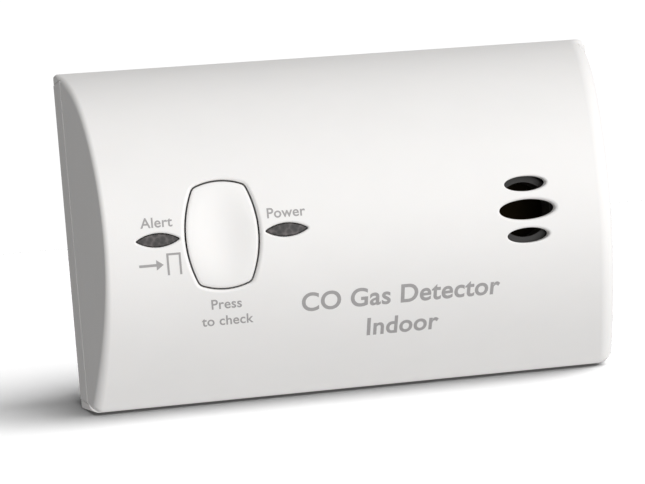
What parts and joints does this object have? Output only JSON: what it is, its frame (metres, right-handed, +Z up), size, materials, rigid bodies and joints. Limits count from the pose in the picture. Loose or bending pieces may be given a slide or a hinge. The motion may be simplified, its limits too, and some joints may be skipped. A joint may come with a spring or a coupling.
{
  "type": "carbon monoxide detector",
  "caption": "Battery carbon monoxide detector: crowned white case with leaning ends, dished test button, slim lenses, horn vents, and a hinged rear battery door.",
  "frame": {"origin": "centre of the bounding box in X and Y, on the surface that the base stands on", "axes": "+Z up, +X to the right as seen from the front, front faces -Y, flat back faces +Y"},
  "size_m": [0.115, 0.0384, 0.07],
  "materials": {
    "front_cover": "fine matt, off-white",
    "rear_housing": "fine matt, off-white",
    "housing_screws": "zinc plated",
    "battery_door": "fine matt, off-white",
    "rating_label": "satin silver film",
    "test_button": "satin, off-white",
    "switch_body": "matt black",
    "switch_plunger": "satin black",
    "alarm_lens": "smoked, clear",
    "power_lens": "smoked, clear",
    "main_board": "solder mask",
    "board_screws": "zinc plated",
    "alarm_led": "tinted clear",
    "power_led": "tinted clear",
    "horn_housing": "satin black",
    "horn_gasket": "matt",
    "horn_disc": "rolled brass",
    "horn_ceramic": "silvered ceramic",
    "horn_contacts": "tinned",
    "horn_coil": "varnished wire",
    "sensor_body": "moulded, satin",
    "sensor_cap": "matt white",
    "sensor_pins": "gold plated",
    "microcontroller": "moulded epoxy",
    "capacitors": "sleeved can",
    "small_parts": "glazed ceramic",
    "left_contacts": "nickel plated",
    "right_contacts": "nickel plated",
    "contact_springs": "nickel plated",
    "lower_cell": "printed sleeve",
    "middle_cell": "printed sleeve",
    "upper_cell": "printed sleeve"
  },
  "bodies": {
    "housing": {"front_cover": "front_cover", "rear_housing": "rear_housing", "housing_screws": "housing_screws", "switch_body": "switch_body", "alarm_lens": "alarm_lens", "power_lens": "power_lens", "main_board": "main_board", "board_screws": "board_screws", "alarm_led": "alarm_led", "power_led": "power_led", "horn_housing": "horn_housing", "horn_gasket": "horn_gasket", "horn_disc": "horn_disc", "horn_ceramic": "horn_ceramic", "horn_contacts": "horn_contacts", "horn_coil": "horn_coil", "sensor_body": "sensor_body", "sensor_cap": "sensor_cap", "sensor_pins": "sensor_pins", "microcontroller": "microcontroller", "capacitors": "capacitors", "small_parts": "small_parts", "left_contacts": "left_contacts", "right_contacts": "right_contacts", "contact_springs": "contact_springs", "lower_cell": "lower_cell", "middle_cell": "middle_cell", "upper_cell": "upper_cell"},
    "button": {"test_button": "test_button"},
    "plunger": {"switch_plunger": "switch_plunger"},
    "door": {"battery_door": "battery_door", "rating_label": "rating_label"}
  },
  "joints": [
    {"name": "test_button_press", "type": "slide", "parent": "housing", "child": "button", "axis": [0, 1, 0], "range_m": [0, 0.0008], "stiffness_N_per_m": 900, "springref_m": -0.0004},
    {"name": "plunger_press", "type": "slide", "parent": "housing", "child": "plunger", "axis": [0, 1, 0], "range_m": [0, 0.0008], "stiffness_N_per_m": 300, "springref_m": -0.0002},
    {"name": "battery_door_hinge", "type": "hinge", "parent": "housing", "child": "door", "pos_m": [0, 0.01715, 0.0577], "axis": [1, 0, 0], "range_deg": [0, 90]}
  ],
  "couplings": [
    {"joint": "plunger_press", "follows": "test_button_press", "ratio": 1}
  ]
}
